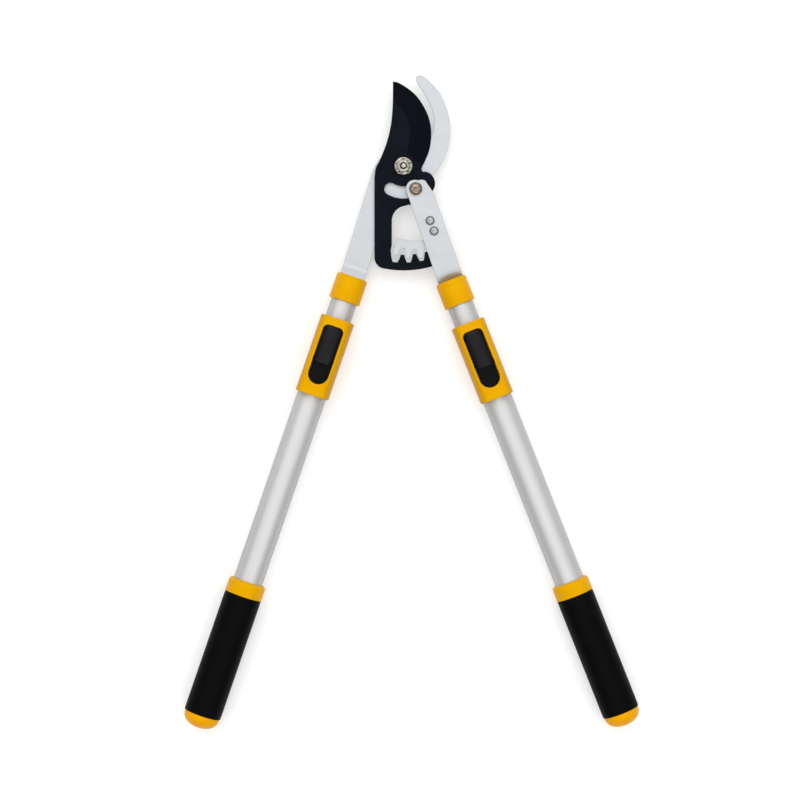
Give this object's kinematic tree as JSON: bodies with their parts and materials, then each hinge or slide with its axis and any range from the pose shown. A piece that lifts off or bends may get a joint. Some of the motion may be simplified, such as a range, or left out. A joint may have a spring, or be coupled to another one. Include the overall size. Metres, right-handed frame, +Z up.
{
  "type": "bypass loppers",
  "caption": "Bypass loppers with a slotted geared blade, hooked counter blade and telescopic aluminium handles with rocker locks and rubber grips",
  "frame": {"origin": "middle of the tool's bounding box, on the surface that it lies on", "axes": "+Y from the grips to the jaws, +Z up from the surface, +X to the right arm's side"},
  "size_m": [0.456, 0.6544, 0.045],
  "materials": {
    "blade_coating": "satin low-friction black coating over ground steel",
    "satin_steel": "fine satin blasted plate",
    "fastener_steel": "machined, zinc plated",
    "yellow_plastic": "moulded, smooth",
    "amber_plastic": "moulded, smooth, a shade darker",
    "black_plastic": "moulded, fine texture",
    "inner_aluminium": "drawn tube, satin",
    "outer_aluminium": "drawn tube, satin anodised",
    "grip_rubber": "soft matte rubber"
  },
  "bodies": {
    "root": {"hook_arm": "satin_steel", "pivot_bolt": "fastener_steel", "pivot_washer": "fastener_steel", "pivot_nut": "fastener_steel", "link_pin": "fastener_steel", "slot_bush": "fastener_steel", "link_nut": "fastener_steel", "left_tube_ferrule": "yellow_plastic", "left_tang_plug": "black_plastic", "left_tang_rivets": "fastener_steel", "left_inner_tube": "inner_aluminium", "left_tube_slider": "black_plastic"},
    "blade": {"cutting_blade": "blade_coating"},
    "right_arm": {"right_arm": "satin_steel", "gear_sector": "satin_steel", "sector_rivets": "fastener_steel", "right_tube_ferrule": "yellow_plastic", "right_tang_plug": "black_plastic", "right_tang_rivets": "fastener_steel", "right_inner_tube": "inner_aluminium", "right_tube_slider": "black_plastic"},
    "left_outer": {"left_outer_tube": "outer_aluminium", "left_lock_housing": "yellow_plastic", "left_button_axle": "fastener_steel", "left_button_spring": "fastener_steel", "left_housing_screw": "fastener_steel", "left_grip_collar": "yellow_plastic", "left_grip_sleeve": "grip_rubber", "left_end_cap": "amber_plastic"},
    "left_button": {"left_lock_button": "black_plastic", "left_lock_pin": "fastener_steel"},
    "right_outer": {"right_outer_tube": "outer_aluminium", "right_lock_housing": "yellow_plastic", "right_button_axle": "fastener_steel", "right_button_spring": "fastener_steel", "right_housing_screw": "fastener_steel", "right_grip_collar": "yellow_plastic", "right_grip_sleeve": "grip_rubber", "right_end_cap": "amber_plastic"},
    "right_button": {"right_lock_button": "black_plastic", "right_lock_pin": "fastener_steel"}
  },
  "joints": [
    {"name": "handle_pivot", "type": "hinge", "parent": "root", "child": "right_arm", "pos_m": [0.00407, 0.21291, 0.019], "axis": [0, 0, 1], "range_deg": [-25, 44]},
    {"name": "blade_pivot", "type": "hinge", "parent": "root", "child": "blade", "pos_m": [-0.00813, 0.23586, 0.019], "axis": [0, 0, 1], "range_deg": [-17.93, 31.57]},
    {"name": "left_telescope", "type": "slide", "parent": "root", "child": "left_outer", "axis": [-0.3247, -0.9458, 0], "range_m": [0, 0.3]},
    {"name": "left_button_press", "type": "hinge", "parent": "left_outer", "child": "left_button", "pos_m": [-0.08775, 0.04188, 0.039], "axis": [0.9458, -0.3247, 0], "range_deg": [0, 7], "stiffness_Nm_per_rad": 0.6, "springref_deg": -5.73, "deforming": ["left_button_spring"]},
    {"name": "right_telescope", "type": "slide", "parent": "right_arm", "child": "right_outer", "axis": [0.3673, -0.9301, 0], "range_m": [0, 0.3]},
    {"name": "right_button_press", "type": "hinge", "parent": "right_outer", "child": "right_button", "pos_m": [0.07193, 0.03835, 0.039], "axis": [0.9301, 0.3673, 0], "range_deg": [0, 7], "stiffness_Nm_per_rad": 0.6, "springref_deg": -5.73, "deforming": ["right_button_spring"]}
  ],
  "couplings": [
    {"joint": "blade_pivot", "follows": "handle_pivot", "ratio": 0.71739}
  ]
}
